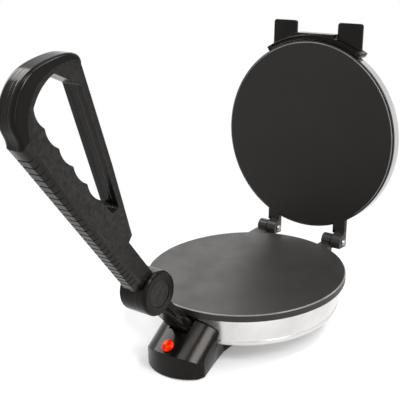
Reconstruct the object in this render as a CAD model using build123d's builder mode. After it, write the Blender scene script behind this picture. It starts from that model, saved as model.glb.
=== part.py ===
from build123d import *
from math import asin, atan, cos, degrees, radians, sin, sqrt
import os

# Electric roti maker. Two cast plates on chromed pans are hinged at the back. A swinging link in the
# front housing carries a long D-grip handle, which folds over the closed lid.
# Millimetres, +Z up, origin on the table under the middle of the lower plate, -Y towards the user.
# The lid stands open, and the link and the handle lean outwards on their stops.

# ---- cooking plates ----
plate_radius = 105.0
lid_plate_inset = 1.2  # inside the lid's pan, which is as wide as the lower plate
upper_plate_radius = plate_radius - lid_plate_inset
rim_front = -plate_radius  # the rim's foremost point, which the housing, link and handle follow
plate_top = 59.0  # cooking face of the lower plate above the table
plate_thickness = 4.0
plate_gap = 0.8  # between the cooking faces when closed
lower_edge_round = 0.8
upper_edge_round = 1.6
skirt = 4.0  # wall of the turned-down rim
lower_rim = 7.2
upper_rim = 5.7

# ---- heating elements and what holds the plates to the pans ----
element_radius = 62.0
element_tube = 3.3
element_clearance = 0.1
seat_half_width = 5.0
seat_depth = 7.5
element_sweep = 330.0
terminal_radius = 2.6
terminal_length = 9.0
terminal_window = (15.0, 46.0)
boss_radius = 7.0
shield_inset = 15.0  # from the plate's edge
shield_radius = plate_radius - shield_inset
shield_lip = 4.0
shield_thickness = 0.8
spacer_radius = 5.5
bolt_radius = 2.0
bolt_hole = 2.1
bolt_depth_in_boss = 7.0

# ---- chromed pans ----
pan_wall = 1.0
pan_inset = 2.0  # from the plate's edge
pan_radius = plate_radius - pan_inset
lower_pan_taper = 8.0
lower_pan_foot_radius = pan_radius - lower_pan_taper
lower_pan_bottom = 20.0  # height of the lower pan's underside
upper_pan_depth = 17.7  # lid thickness from its cooking face
upper_pan_mouth = 1.8  # depth of its edge below the cooking face
upper_pan_corner = 4.5
lower_pan_corner = 3.5
bead_rise = 0.9
bead_half_height = 1.6
bead_height = 6.0  # above the lower pan's underside
vent_count = 6
vent_circle = 68.0
vent_length = 26.0
vent_width = 5.0

# ---- lid hinges ----
hinge_reach = 10.5  # hinge axis behind the rim
hinge_y = plate_radius + hinge_reach
hinge_z = 59.9
hinge_centres = (-43.9, 42.0)
hinge_width = 24.4
base_knuckle_radius = 7.6
lid_knuckle_radius = 9.5
knuckle_split = 0.6
knuckle_end = 5.5  # flat end of the lid's knuckle, beyond the axis
knuckle_front = 9.0  # flat that meets the stop lug, below the axis with the lid closed
arm_inset = 21.0  # root of the hinge arms within the rim
arm_root = plate_radius - arm_inset
arm_overhang = 2.4
arm_gap = 1.6  # between the overhang and the fixed knuckle
arm_notch_gap = 0.2
lug_width = 2.8
lug_face = 9.9  # stop face from the axis
hinge_pin_radius = 2.5
pin_running_clearance = 0.05
pin_head_radius = 3.9
pin_head_height = 1.6
open_angle = 95.5

# ---- base housing ----
wall = 2.4
housing_lift = 1.0  # clear of the table, which only the rubber feet touch
nose_y = rim_front - 35.0
# the nose in plan, at the table and at the top of its roof: corner, cheek, shoulder
nose_foot = ((31.0, rim_front - 23.0), (34.0, rim_front - 16.0), (27.2, rim_front + 7.5))
nose_roof = ((30.5, rim_front - 22.5), (33.8, rim_front - 14.0), (38.0, rim_front + 7.7))
nose_roof_z = 52.0
nose_back_y = rim_front + 55.0
nose_round = 4.0
spine_half_width = 21.0
spine_front_y = rim_front + 33.0
cross_foot_y = (plate_radius - 47.0, plate_radius - 23.0)
cross_foot_middle = sum(cross_foot_y) / 2
cross_foot_half_width = 46.0
crown_radius = 38.7
crown_slope = 0.652  # rise of the sloping front per millimetre of depth
crown_reference = (rim_front - 12.0, 40.0)
housing_to_pan = 0.4
cover_thickness = 2.0
cover_clearance = 0.25
post_radius = 4.0
front_screw_y = rim_front - 2.0
cover_screw_places = (
    (23.0, front_screw_y),
    (-23.0, front_screw_y),
    (24.0, cross_foot_middle),
    (-24.0, cross_foot_middle),
)
foot_radius = 6.5
foot_thickness = 2.0
front_foot_y = rim_front - 20.0
foot_places = (
    (18.0, front_foot_y),
    (-18.0, front_foot_y),
    (36.0, cross_foot_middle),
    (-36.0, cross_foot_middle),
    (0.0, 0.0),
)

# ---- link and its bracket ----
link_length = 81.0
link_lean = 40.0  # from upright, towards the user
link_half_width = 10.25
link_front = 7.4  # front face from the line through its two pivots
link_back = 4.6
link_root_radius = 4.6
link_head_radius = 15.5
link_pin_radius = 2.5
link_side_gap = 0.45
bracket_sheet = 2.0
bracket_back_y = rim_front + 43.0
bracket_front_y = rim_front - 8.0
bracket_bolt_places = (rim_front + 33.0, rim_front + 19.0)
slot_side_gap = 1.05
slot_half_width = link_half_width + slot_side_gap

# ---- pilot lamp ----
lamp_y = rim_front - 27.5
lens_radius = 6.6
lens_rise = 2.8
lens_shank_radius = 4.5
lamp_bore_clearance = 0.15

# ---- handle ----
barrel_y = rim_front - 51.6
barrel_z = 99.7
barrel_radius = 21.4
barrel_half_length = 15.7
barrel_rim_round = 3.0
link_head_clearance = 0.8
link_head_side_gap = 0.35
barrel_cavity_radius = link_head_radius + link_head_clearance
barrel_cavity_half = link_half_width + link_head_side_gap
barrel_seam_x = 8.1
barrel_pin_radius = 4.0
cap_radius = 12.9
cap_thickness = 1.2
cap_recess = 1.8
handle_angle = 126.0  # direction of the handle at rest, from +Y towards +Z
handle_fold = 100.0  # travel of the handle over the lid
slot_clearance = 0.35
grip_half_width = 10.0
band_shoulder = 3.5
groove_count = 26
groove_width = 1.2
groove_depth = 0.9

# ---- lid bracket ----
ear_inner_x = 25.9
ear_outer_x = 55.2
ear_tip_y = rim_front - 20.2
ear_root_y = rim_front + 13.0
ear_height = 11.0  # underside above the lid's cooking face
ear_thickness = 4.2
band_half_angle = 32.0
band_height = 3.0
band_groove = 2.0
bracket_to_rim = 0.4
band_inner = plate_radius + bracket_to_rim
band_thickness = 5.6
band_outer = band_inner + band_thickness
catch_half_width = 24.0
catch_y = rim_front - 7.5
catch_height = 5.5
saddle_y = rim_front + 37.0
saddle_thickness = 3.0

os.makedirs("parts", exist_ok=True)


def save(part, name):
    part.label = name
    export_step(part, "parts/" + name + ".step")


# ---- frames ----
lid_face_z = plate_top + plate_gap
cos_open = cos(radians(open_angle))
sin_open = sin(radians(open_angle))
lid_drop = lid_face_z - hinge_z
lid_centre = (
    0,
    hinge_y - hinge_y * cos_open + lid_drop * sin_open,
    hinge_z + hinge_y * sin_open + lid_drop * cos_open,
)
# Depth runs away from each cooking face, into the plate.
lower_frame = Plane(origin=(0, 0, plate_top), x_dir=(1, 0, 0), z_dir=(0, 0, -1))
lid_frame = Plane(origin=lid_centre, x_dir=(1, 0, 0), z_dir=(0, sin_open, cos_open))
link_foot_y = barrel_y + link_length * sin(radians(link_lean))
link_foot_z = barrel_z - link_length * cos(radians(link_lean))
link_frame = Plane(
    origin=(0, link_foot_y, link_foot_z),
    x_dir=(0, -sin(radians(link_lean)), cos(radians(link_lean))),
    z_dir=(1, 0, 0),
)
handle_frame = Plane(
    origin=(0, barrel_y, barrel_z),
    x_dir=(0, cos(radians(handle_angle)), sin(radians(handle_angle))),
    z_dir=(1, 0, 0),
)


def section_of(frame):
    """The plane through a frame's axis, with the radius along X and the depth along Y."""
    return Plane(origin=frame.origin, x_dir=frame.x_dir, z_dir=frame.y_dir * -1)


def axis_of(frame):
    return Axis(frame.origin, frame.z_dir)


def lid_side(x):
    """The upright plane of the lid at x: distance from its centre towards the hinge, then height."""
    return Plane(
        origin=(x, lid_centre[1], lid_centre[2]),
        x_dir=(0, cos_open, -sin_open),
        z_dir=(1, 0, 0),
    )


def lower_pan_radius(z):
    """Outside radius of the lower pan's tapered wall at a height."""
    share = (z - lower_pan_bottom) / (plate_top - lower_rim - lower_pan_bottom)
    return lower_pan_foot_radius + share * (pan_radius - lower_pan_foot_radius)


def crown_height(y):
    """Height of the housing's sloping ridge at y."""
    return crown_reference[1] + crown_slope * (y - crown_reference[0])


def dome(edge, base, rise):
    """Three points of a round cap's profile, from its edge to its crown on the axis."""
    ball = (edge**2 + rise**2) / (2 * rise)
    half = asin(edge / ball) / 2
    return (edge, base), (ball * sin(half), base + rise - ball * (1 - cos(half))), (0, base + rise)


# ---- plates, elements, shields and pans, made alike for base and lid ----
def cast_plate(frame, radius, edge_round, rim, boss_depth):
    """A turned plate with a rim, a ring that seats the element, and a bolt boss."""
    seat_inner = element_radius - seat_half_width
    seat_outer = element_radius + seat_half_width
    bend = edge_round * (1 - sqrt(0.5))
    with BuildPart() as plate:
        with BuildSketch(section_of(frame)):
            with BuildLine():
                Line((0, 0), (radius - edge_round, 0))
                ThreePointArc(
                    (radius - edge_round, 0),
                    (radius - bend, bend),
                    (radius, edge_round),
                )
                Polyline(
                    (radius, edge_round),
                    (radius, rim),
                    (radius - skirt, rim),
                    (radius - skirt, plate_thickness),
                    (seat_outer, plate_thickness),
                    (seat_outer, seat_depth),
                    (seat_inner, seat_depth),
                    (seat_inner, plate_thickness),
                    (boss_radius, plate_thickness),
                    (boss_radius, boss_depth),
                    (0, boss_depth),
                    (0, 0),
                )
            make_face()
        revolve(axis=axis_of(frame))
        with BuildSketch(section_of(frame)):
            with Locations((element_radius, seat_depth)):
                Circle(element_tube + element_clearance)
        revolve(axis=axis_of(frame), mode=Mode.SUBTRACT)
        with BuildSketch(frame.offset(boss_depth)):
            Circle(bolt_hole)
        extrude(amount=-bolt_depth_in_boss, mode=Mode.SUBTRACT)
    return plate.part


def heating_element(frame):
    """A tubular ring element with two terminal pins that point away from the plate."""
    with BuildPart() as element:
        with BuildSketch(section_of(frame)):
            with Locations((element_radius, seat_depth)):
                Circle(element_tube)
        revolve(axis=axis_of(frame), revolution_arc=element_sweep)
        for end in element.faces().filter_by(GeomType.PLANE):
            with BuildSketch(Plane(origin=end.center(), z_dir=frame.z_dir)):
                Circle(terminal_radius)
            extrude(amount=terminal_length)
    return element.part


def heat_shield(frame, depth):
    """A dished sheet disc under the element, with a window for the terminals."""
    with BuildPart() as shield:
        with BuildSketch(section_of(frame)):
            with BuildLine():
                Polyline(
                    (0, depth),
                    (shield_radius, depth),
                    (shield_radius + shield_lip, depth - shield_lip),
                    (shield_radius + shield_lip + shield_thickness, depth - shield_lip),
                    (shield_radius + shield_thickness / 2, depth + shield_thickness),
                    (0, depth + shield_thickness),
                    close=True,
                )
            make_face()
        revolve(axis=axis_of(frame))
        with BuildSketch(frame.offset(depth)):
            Circle(bolt_hole)
            middle = radians((element_sweep - 360) / 2)
            with Locations((element_radius * cos(middle), element_radius * sin(middle))):
                Rectangle(*terminal_window, rotation=degrees(middle))
        extrude(amount=shield_thickness, mode=Mode.SUBTRACT)
    return shield.part


def spacer_tube(frame, near_depth, far_depth):
    """A distance tube round the centre bolt."""
    with BuildPart() as spacer:
        with BuildSketch(frame.offset(near_depth)):
            Circle(spacer_radius)
            Circle(bolt_hole, mode=Mode.SUBTRACT)
        extrude(amount=far_depth - near_depth)
    return spacer.part


def pan(frame, rim_radius, rim_depth, floor_radius, floor_depth, corner):
    """A tapered sheet pan, open at the plate, with a rounded floor corner and a bolt hole."""
    with BuildPart() as body:
        with BuildSketch(section_of(frame)):
            with BuildLine():
                Polyline(
                    (0, rim_depth),
                    (rim_radius, rim_depth),
                    (floor_radius, floor_depth),
                    (0, floor_depth),
                    close=True,
                )
            make_face()
        revolve(axis=axis_of(frame))
        floor = body.faces().sort_by(axis_of(frame))[-1]
        fillet(floor.edges(), corner)
        mouth = body.faces().sort_by(axis_of(frame))[0]
        offset(amount=-pan_wall, openings=mouth)
        with BuildSketch(frame.offset(floor_depth)):
            Circle(bolt_hole)
        extrude(amount=-2 * pan_wall, mode=Mode.SUBTRACT)
    return body.part


lower_boss = 18.2
lower_floor = plate_top - lower_pan_bottom
upper_boss = 11.9
lower_shield_depth = lower_boss
upper_shield_depth = upper_boss

# ---- lower plate with the fixed hinge knuckles ----
hinge_half = hinge_width / 2
lower_rim_z = plate_top - lower_rim

with BuildPart() as lower_plate:
    add(cast_plate(lower_frame, plate_radius, lower_edge_round, lower_rim, lower_boss))
    for centre in hinge_centres:
        left = centre - hinge_half
        # the fixed knuckle on its arm
        with BuildSketch(Plane.YZ.offset(left)):
            with BuildLine():
                Polyline(
                    (arm_root, lower_rim_z),
                    (arm_root, plate_top),
                    (hinge_y, plate_top),
                    (hinge_y, lower_rim_z),
                    close=True,
                )
            make_face()
            with Locations((hinge_y, hinge_z)):
                Circle(base_knuckle_radius)
        extrude(amount=hinge_half - knuckle_split / 2)
        # the lug beside it that stops the lid just past upright
        with BuildSketch(Plane.YZ.offset(centre - knuckle_split / 2)):
            with BuildLine():
                Polyline(
                    (arm_root, lower_rim_z),
                    (arm_root, plate_top),
                    (hinge_y - lug_face, plate_top),
                    (hinge_y - lug_face, lower_rim_z),
                    close=True,
                )
            make_face()
        extrude(amount=knuckle_split / 2 + lug_width)
        with BuildSketch(Plane.YZ.offset(left)):
            with Locations((hinge_y, hinge_z)):
                Circle(hinge_pin_radius + pin_running_clearance)
        extrude(amount=hinge_half, mode=Mode.SUBTRACT)
save(lower_plate.part, "lower_plate")

# ---- lid plate with the moving knuckles ----
axis_height = hinge_z - lid_face_z
overhang_end = hinge_y - base_knuckle_radius - arm_gap
with BuildPart() as upper_plate:
    for centre in hinge_centres:
        inner = centre + knuckle_split / 2
        with BuildSketch(lid_side(centre - arm_overhang)):
            with BuildLine():
                Polyline(
                    (arm_root, 0),
                    (overhang_end, 0),
                    (overhang_end, upper_rim),
                    (arm_root, upper_rim),
                    close=True,
                )
            make_face()
        extrude(amount=hinge_half + arm_overhang)
        # the knuckle: round, with a flat end and a square corner that meets the lug
        with BuildSketch(lid_side(inner)):
            with Locations((hinge_y, axis_height)):
                Circle(lid_knuckle_radius)
            with Locations((hinge_y + knuckle_end, upper_rim)):
                far = 2 * lid_knuckle_radius
                Rectangle(far, far, align=(Align.MAX, Align.MAX), mode=Mode.INTERSECT)
            with BuildLine():
                Polyline(
                    (arm_root, 0),
                    (hinge_y, axis_height),
                    (hinge_y, axis_height - knuckle_front),
                    (hinge_y + knuckle_end, axis_height - knuckle_front),
                    (hinge_y + knuckle_end, upper_rim),
                    (arm_root, upper_rim),
                    close=True,
                )
            make_face()
        extrude(amount=hinge_half - knuckle_split / 2)
        with BuildSketch(lid_side(inner)):
            with Locations((hinge_y, axis_height)):
                Circle(hinge_pin_radius + pin_running_clearance)
        extrude(amount=hinge_half, mode=Mode.SUBTRACT)
    # the arms end inside the rim
    with BuildSketch(lid_frame.offset(plate_thickness)):
        Circle(upper_plate_radius - skirt)
    extrude(amount=upper_rim, mode=Mode.SUBTRACT)
    add(cast_plate(lid_frame, upper_plate_radius, upper_edge_round, upper_rim, upper_boss))
save(upper_plate.part, "upper_plate")

# ---- hinge pins, pressed into the fixed knuckles, heads on the right ----
with BuildPart() as hinge_pins:
    for centre in hinge_centres:
        with BuildSketch(Plane.YZ.offset(centre - hinge_half - 1.2)):
            with Locations((hinge_y, hinge_z)):
                Circle(hinge_pin_radius)
        extrude(amount=hinge_width + 1.5)
        with BuildSketch(Plane.YZ.offset(centre - hinge_half - 1.2)):
            with Locations((hinge_y, hinge_z)):
                Circle(pin_head_radius - 0.8)
        extrude(amount=1.2)
        with BuildSketch(Plane.YZ.offset(centre + hinge_half + 0.3)):
            with Locations((hinge_y, hinge_z)):
                Circle(pin_head_radius)
        extrude(amount=pin_head_height, taper=35)
save(hinge_pins.part, "hinge_pins")

# ---- elements, shields, spacers ----
save(heating_element(lower_frame), "lower_element")
save(heating_element(lid_frame), "upper_element")
save(heat_shield(lower_frame, lower_shield_depth), "lower_heat_shield")
save(heat_shield(lid_frame, upper_shield_depth), "upper_heat_shield")
save(
    spacer_tube(lower_frame, lower_shield_depth + shield_thickness, lower_floor - pan_wall),
    "lower_spacer",
)
save(
    spacer_tube(lid_frame, upper_shield_depth + shield_thickness, upper_pan_depth - pan_wall),
    "upper_spacer",
)

# ---- lower pan ----
gland_z = 36.0
gland_neck_radius = 5.9
pan_taper = (pan_radius - lower_pan_foot_radius) / (plate_top - lower_rim - lower_pan_bottom)
pan_taper_angle = atan(pan_taper)
gland_plane = Plane(
    origin=(0, lower_pan_radius(gland_z), gland_z),
    x_dir=(1, 0, 0),
    z_dir=(0, cos(pan_taper_angle), -sin(pan_taper_angle)),
)
bead_z = lower_pan_bottom + bead_height


def bead_outline(clearance):
    """The bead's three-cornered section, or with a clearance the groove that it needs."""
    foot = bead_half_height + clearance
    with BuildSketch(Plane.XZ) as outline:
        with BuildLine():
            Polyline(
                (lower_pan_radius(bead_z - foot) - pan_wall / 2, bead_z - foot),
                (lower_pan_radius(bead_z) + bead_rise + clearance, bead_z),
                (lower_pan_radius(bead_z + foot) - pan_wall / 2, bead_z + foot),
                close=True,
            )
        make_face()
    return outline.sketch


with BuildPart() as lower_shell:
    add(pan(lower_frame, pan_radius, lower_rim, lower_pan_foot_radius, lower_floor, lower_pan_corner))
    # rolled bead above the foot
    revolve(bead_outline(0), axis=Axis.Z)
    with BuildSketch(Plane.XY.offset(lower_pan_bottom)):
        with PolarLocations(vent_circle, vent_count):
            SlotOverall(vent_length, vent_width)
        with Locations([(0, y) for y in bracket_bolt_places]):
            Circle(bolt_hole)
    extrude(amount=2 * pan_wall, mode=Mode.SUBTRACT)
    with BuildSketch(gland_plane.offset(-3 * pan_wall)):
        Circle(gland_neck_radius + 0.1)
    extrude(amount=6 * pan_wall, mode=Mode.SUBTRACT)
save(lower_shell.part, "lower_shell")

# ---- upper pan, the lid's cover ----
with BuildPart() as upper_shell:
    add(pan(lid_frame, plate_radius, upper_pan_mouth, plate_radius, upper_pan_depth, upper_pan_corner))
    # notches that the hinge arms pass through
    for centre in hinge_centres:
        with BuildSketch(lid_side(centre - arm_overhang - arm_notch_gap)):
            with Locations((arm_root, 0)):
                notch = (plate_radius - arm_root, upper_rim + arm_notch_gap)
                Rectangle(*notch, align=(Align.MIN, Align.MIN))
        extrude(amount=hinge_half + arm_overhang + 2 * arm_notch_gap, mode=Mode.SUBTRACT)
save(upper_shell.part, "upper_shell")

# ---- cord inlet gland at the back, with its bore open ----
with BuildPart() as cord_gland:
    with BuildSketch(gland_plane.offset(-3.4)):
        Circle(gland_neck_radius + 1.6)
    extrude(amount=2.0)
    with BuildSketch(gland_plane.offset(-1.5)):
        Circle(gland_neck_radius)
    extrude(amount=2.0)
    with BuildSketch(gland_plane.offset(0.45)):
        Circle(gland_neck_radius + 2.6)
    extrude(amount=2.2)
    with BuildSketch(gland_plane.offset(2.6)):
        Circle(gland_neck_radius)
    extrude(amount=7, taper=6)
    with BuildSketch(gland_plane.offset(-4)):
        Circle(3.2)
    extrude(amount=15, mode=Mode.SUBTRACT)
save(cord_gland.part, "cord_gland")

# ---- centre bolt of the base ----
lower_bolt_head = 2.4
with BuildPart() as lower_bolt:
    with BuildSketch(Plane.XY.offset(lower_pan_bottom - lower_bolt_head)):
        RegularPolygon(4.2, 6)
    extrude(amount=lower_bolt_head)
    with BuildSketch(Plane.XY.offset(lower_pan_bottom)):
        Circle(bolt_radius)
    extrude(amount=plate_top - lower_boss + 4 - lower_pan_bottom)
save(lower_bolt.part, "lower_bolt")

# ---- centre stud of the lid and its domed nut ----
nut_height = 5.5
nut_hex_height = 3.0
with BuildPart() as lid_stud:
    with BuildSketch(lid_frame.offset(upper_boss - 5)):
        Circle(bolt_radius)
    extrude(amount=upper_pan_depth + 2.2 - upper_boss + 5)
save(lid_stud.part, "lid_stud")

with BuildPart() as lid_nut:
    with BuildSketch(lid_frame.offset(upper_pan_depth)):
        RegularPolygon(5.2, 6)
    extrude(amount=nut_hex_height)
    with BuildSketch(section_of(lid_frame)):
        with BuildLine():
            Line((0, upper_pan_depth + 1), (4.2, upper_pan_depth + 1))
            Line((4.2, upper_pan_depth + 1), (4.2, upper_pan_depth + nut_hex_height))
            ThreePointArc(*dome(4.2, upper_pan_depth + nut_hex_height, nut_height - nut_hex_height))
            Line((0, upper_pan_depth + nut_height), (0, upper_pan_depth + 1))
        make_face()
    revolve(axis=axis_of(lid_frame))
    with BuildSketch(lid_frame.offset(upper_pan_depth)):
        Circle(bolt_radius)
    extrude(amount=2.2, mode=Mode.SUBTRACT)
save(lid_nut.part, "lid_nut")


# ---- base housing: sloping nose, spine under the pan, rear cross foot ----
def nose_plan(inset, z, outline):
    """The nose seen from above at a height, drawn in by an inset."""
    corner, cheek, shoulder = outline
    with BuildSketch(Plane.XY.offset(z)) as plan:
        with BuildLine():
            ThreePointArc((-corner[0], corner[1]), (0, nose_y), corner)
            right = Polyline(
                corner,
                cheek,
                shoulder,
                (spine_half_width, spine_front_y),
                (spine_half_width, nose_back_y),
                (0, nose_back_y),
            )
            mirror(right, about=Plane.YZ)
        make_face()
        fillet(plan.vertices().filter_by(lambda v: v.Y < shoulder[1] - 1), nose_round)
        if inset > 0:
            offset(amount=-inset, kind=Kind.INTERSECTION)
    return plan.sketch


def spine_plan(inset, z):
    """The spine and the cross foot seen from above at a height, drawn in by an inset."""
    with BuildSketch(Plane.XY.offset(z)) as plan:
        with BuildLine():
            right = Polyline(
                (0, spine_front_y),
                (spine_half_width, spine_front_y),
                (spine_half_width, cross_foot_y[0]),
                (cross_foot_half_width, cross_foot_y[0]),
                (cross_foot_half_width, cross_foot_y[1]),
                (0, cross_foot_y[1]),
            )
            mirror(right, about=Plane.YZ)
        make_face()
        rear = plan.vertices().filter_by(lambda v: v.Y > cross_foot_y[0] - 1)
        fillet(rear.filter_by(lambda v: abs(v.X) > 1), 6)
        if inset > 0:
            offset(amount=-inset, kind=Kind.INTERSECTION)
    return plan.sketch


def housing_body(inset):
    """The housing's outer solid, or with an inset the hollow inside it."""
    drop = inset * sqrt(1 + crown_slope**2)
    seat_z = lower_pan_bottom - inset
    rim_z = lower_rim_z - inset
    grow = housing_to_pan + inset
    foot_z = housing_lift - inset
    half = crown_radius - 0.5
    with BuildPart() as body:
        foot_plan = nose_plan(inset, foot_z, nose_foot)
        roof_plan = nose_plan(inset, nose_roof_z, nose_roof)
        loft([foot_plan, roof_plan], ruled=True)
        extrude(spine_plan(inset, foot_z), amount=lower_pan_bottom)
        # the crowned roof slopes down to the nose
        with BuildSketch(Plane.XZ.offset(-spine_front_y)):
            ridge = crown_height(spine_front_y) - drop
            side = ridge - crown_radius + sqrt(crown_radius**2 - half**2)
            with BuildLine():
                ThreePointArc((-half, side), (0, ridge), (half, side))
                Polyline((half, side), (half, ridge + half), (-half, ridge + half), (-half, side))
            make_face()
        run = spine_front_y - nose_y + 10
        extrude(
            amount=run * sqrt(1 + crown_slope**2),
            dir=Vector(0, -1, -crown_slope),
            mode=Mode.SUBTRACT,
        )
        # room for the pan and the plate above it
        with BuildSketch(Plane.XZ):
            with BuildLine():
                Polyline(
                    (0, seat_z),
                    (lower_pan_radius(lower_pan_bottom) + grow, seat_z),
                    (pan_radius + grow, rim_z),
                    (plate_radius + grow, rim_z),
                    (plate_radius + grow, 2 * plate_top),
                    (0, 2 * plate_top),
                    close=True,
                )
            make_face()
        revolve(axis=Axis.Z, mode=Mode.SUBTRACT)
    return body.part


slot_front_y = rim_front - 11.6
slot_back_y = rim_front + 9.0
bracket_top_z = lower_pan_bottom - wall
cheek_inner_x = link_half_width + link_side_gap
pin_end = cheek_inner_x + bracket_sheet + 0.2
pin_head = 1.4
pivot_boss = 4.2
bracket_room = pin_end + pin_head + 0.5
lamp_point = (0, lamp_y, crown_height(lamp_y))
slope_angle = atan(crown_slope)
lamp_plane = Plane(
    origin=lamp_point, x_dir=(1, 0, 0), z_dir=(0, -sin(slope_angle), cos(slope_angle))
)
post_foot_z = housing_lift + cover_thickness

# posts for the cover's screws, which end inside the roof
with BuildPart() as screw_posts:
    with BuildSketch(Plane.XY.offset(post_foot_z)):
        with Locations(cover_screw_places):
            Circle(post_radius)
    extrude(amount=plate_top)
    add(housing_body(wall / 2), mode=Mode.INTERSECT)

with BuildPart() as base_housing:
    add(housing_body(0))
    add(housing_body(wall), mode=Mode.SUBTRACT)
    add(screw_posts)
    with BuildSketch(Plane.XY.offset(post_foot_z)):
        with Locations(cover_screw_places):
            Circle(1.3)
    extrude(amount=9, mode=Mode.SUBTRACT)
    with BuildSketch(Plane.YZ.offset(-slot_half_width)):
        with BuildLine():
            Polyline(
                (slot_front_y, lower_pan_bottom + 8),
                (slot_front_y, plate_top),
                (slot_back_y, plate_top),
                (slot_back_y, lower_pan_bottom + 8),
                close=True,
            )
        make_face()
    extrude(amount=2 * slot_half_width, mode=Mode.SUBTRACT)
    # the wall behind the link is open for its bracket
    with BuildSketch(Plane.YZ.offset(-bracket_room)):
        with BuildLine():
            Polyline(
                (-lower_pan_radius(lower_pan_bottom) - 0.2, lower_pan_bottom - wall),
                (link_foot_y - 2, lower_pan_bottom - wall),
                (link_foot_y - 2, link_foot_z + pivot_boss + 0.5),
                (link_foot_y + 15, link_foot_z + pivot_boss + 0.5),
                (link_foot_y + 15, lower_pan_bottom + 0.3),
                (-lower_pan_radius(lower_pan_bottom) - 0.2, lower_pan_bottom + 0.3),
                close=True,
            )
        make_face()
    extrude(amount=2 * bracket_room, mode=Mode.SUBTRACT)
    # room for the pan's bead
    revolve(bead_outline(housing_to_pan), axis=Axis.Z, mode=Mode.SUBTRACT)
    with BuildSketch(lamp_plane.offset(-2 * wall)):
        Circle(lens_shank_radius + lamp_bore_clearance)
    extrude(amount=4 * wall, mode=Mode.SUBTRACT)
    # holes in the spine's roof for the centre bolt and the bracket's bolts
    with BuildSketch(Plane.XY.offset(lower_pan_bottom - wall)):
        Circle(6.0)
        with Locations([(0, y) for y in bracket_bolt_places]):
            Circle(bolt_hole)
    extrude(amount=wall, mode=Mode.SUBTRACT)
save(base_housing.part, "base_housing")

# ---- bottom cover, its screws and the rubber feet ----
with BuildPart() as base_cover:
    extrude(nose_plan(wall + cover_clearance, housing_lift, nose_foot), amount=cover_thickness)
    extrude(spine_plan(wall + cover_clearance, housing_lift), amount=cover_thickness)
    with BuildSketch(Plane.XY.offset(housing_lift)):
        with Locations(foot_places):
            Circle(foot_radius + 0.1)
    extrude(amount=foot_thickness - housing_lift, mode=Mode.SUBTRACT)
    with BuildSketch(Plane.XY.offset(housing_lift)):
        with Locations(cover_screw_places):
            Circle(3.1)
    extrude(amount=1.0, mode=Mode.SUBTRACT)
    with BuildSketch(Plane.XY.offset(housing_lift)):
        with Locations(cover_screw_places):
            Circle(1.6)
    extrude(amount=cover_thickness, mode=Mode.SUBTRACT)
save(base_cover.part, "base_cover")

with BuildPart() as cover_screws:
    for place in cover_screw_places:
        with BuildSketch(Plane.XY.offset(housing_lift + 0.1)):
            with Locations(place):
                Circle(2.9)
        extrude(amount=0.9)
        with BuildSketch(Plane.XY.offset(housing_lift + 1.0)):
            with Locations(place):
                Circle(1.3)
        extrude(amount=9)
save(cover_screws.part, "cover_screws")

with BuildPart() as rubber_feet:
    with BuildSketch():
        with Locations(foot_places):
            Circle(foot_radius)
    extrude(amount=foot_thickness)
save(rubber_feet.part, "rubber_feet")

# ---- steel bracket that anchors the link to the pan's floor ----
with BuildPart() as link_bracket:
    with BuildSketch(Plane.XY.offset(bracket_top_z - bracket_sheet)):
        with Locations((0, (bracket_back_y + bracket_front_y) / 2)):
            Rectangle(2 * (cheek_inner_x + bracket_sheet), bracket_back_y - bracket_front_y)
        with Locations([(0, y) for y in bracket_bolt_places]):
            Circle(bolt_hole, mode=Mode.SUBTRACT)
    extrude(amount=bracket_sheet)
    for side_x in (-cheek_inner_x - bracket_sheet, cheek_inner_x):
        with BuildSketch(Plane.YZ.offset(side_x)):
            with BuildLine():
                Polyline(
                    (bracket_front_y, bracket_top_z - bracket_sheet),
                    (-lower_pan_radius(lower_pan_bottom) - 1.2, bracket_top_z - bracket_sheet),
                    (-lower_pan_radius(lower_pan_bottom) - 1.2, lower_pan_bottom + 3),
                    (link_foot_y + pivot_boss, link_foot_z),
                    (link_foot_y - pivot_boss, link_foot_z),
                    (bracket_front_y, bracket_top_z + 4),
                    close=True,
                )
            make_face()
            with Locations((link_foot_y, link_foot_z)):
                Circle(pivot_boss)
                Circle(link_pin_radius + pin_running_clearance, mode=Mode.SUBTRACT)
        extrude(amount=bracket_sheet)
save(link_bracket.part, "link_bracket")

with BuildPart() as bracket_bolts:
    for y in bracket_bolt_places:
        with BuildSketch(Plane.XY.offset(bracket_top_z - bracket_sheet - 2)):
            with Locations((0, y)):
                RegularPolygon(3.6, 6)
        extrude(amount=2)
        with BuildSketch(Plane.XY.offset(bracket_top_z - bracket_sheet)):
            with Locations((0, y)):
                Circle(bolt_radius)
        extrude(amount=bracket_sheet + wall + pan_wall + 3)
save(bracket_bolts.part, "bracket_bolts")

with BuildPart() as bracket_nuts:
    with BuildSketch(Plane.XY.offset(lower_pan_bottom + pan_wall)):
        for y in bracket_bolt_places:
            with Locations((0, y)):
                RegularPolygon(4.0, 6)
                Circle(bolt_radius + 0.05, mode=Mode.SUBTRACT)
    extrude(amount=2.6)
save(bracket_nuts.part, "bracket_nuts")

with BuildPart() as link_pin:
    with BuildSketch(Plane.YZ.offset(-pin_end)):
        with Locations((link_foot_y, link_foot_z)):
            Circle(link_pin_radius)
    extrude(amount=2 * pin_end)
    for start in (-pin_end - pin_head, pin_end):
        with BuildSketch(Plane.YZ.offset(start)):
            with Locations((link_foot_y, link_foot_z)):
                Circle(link_pin_radius + 1.2)
        extrude(amount=pin_head)
save(link_pin.part, "link_pin")

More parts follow.
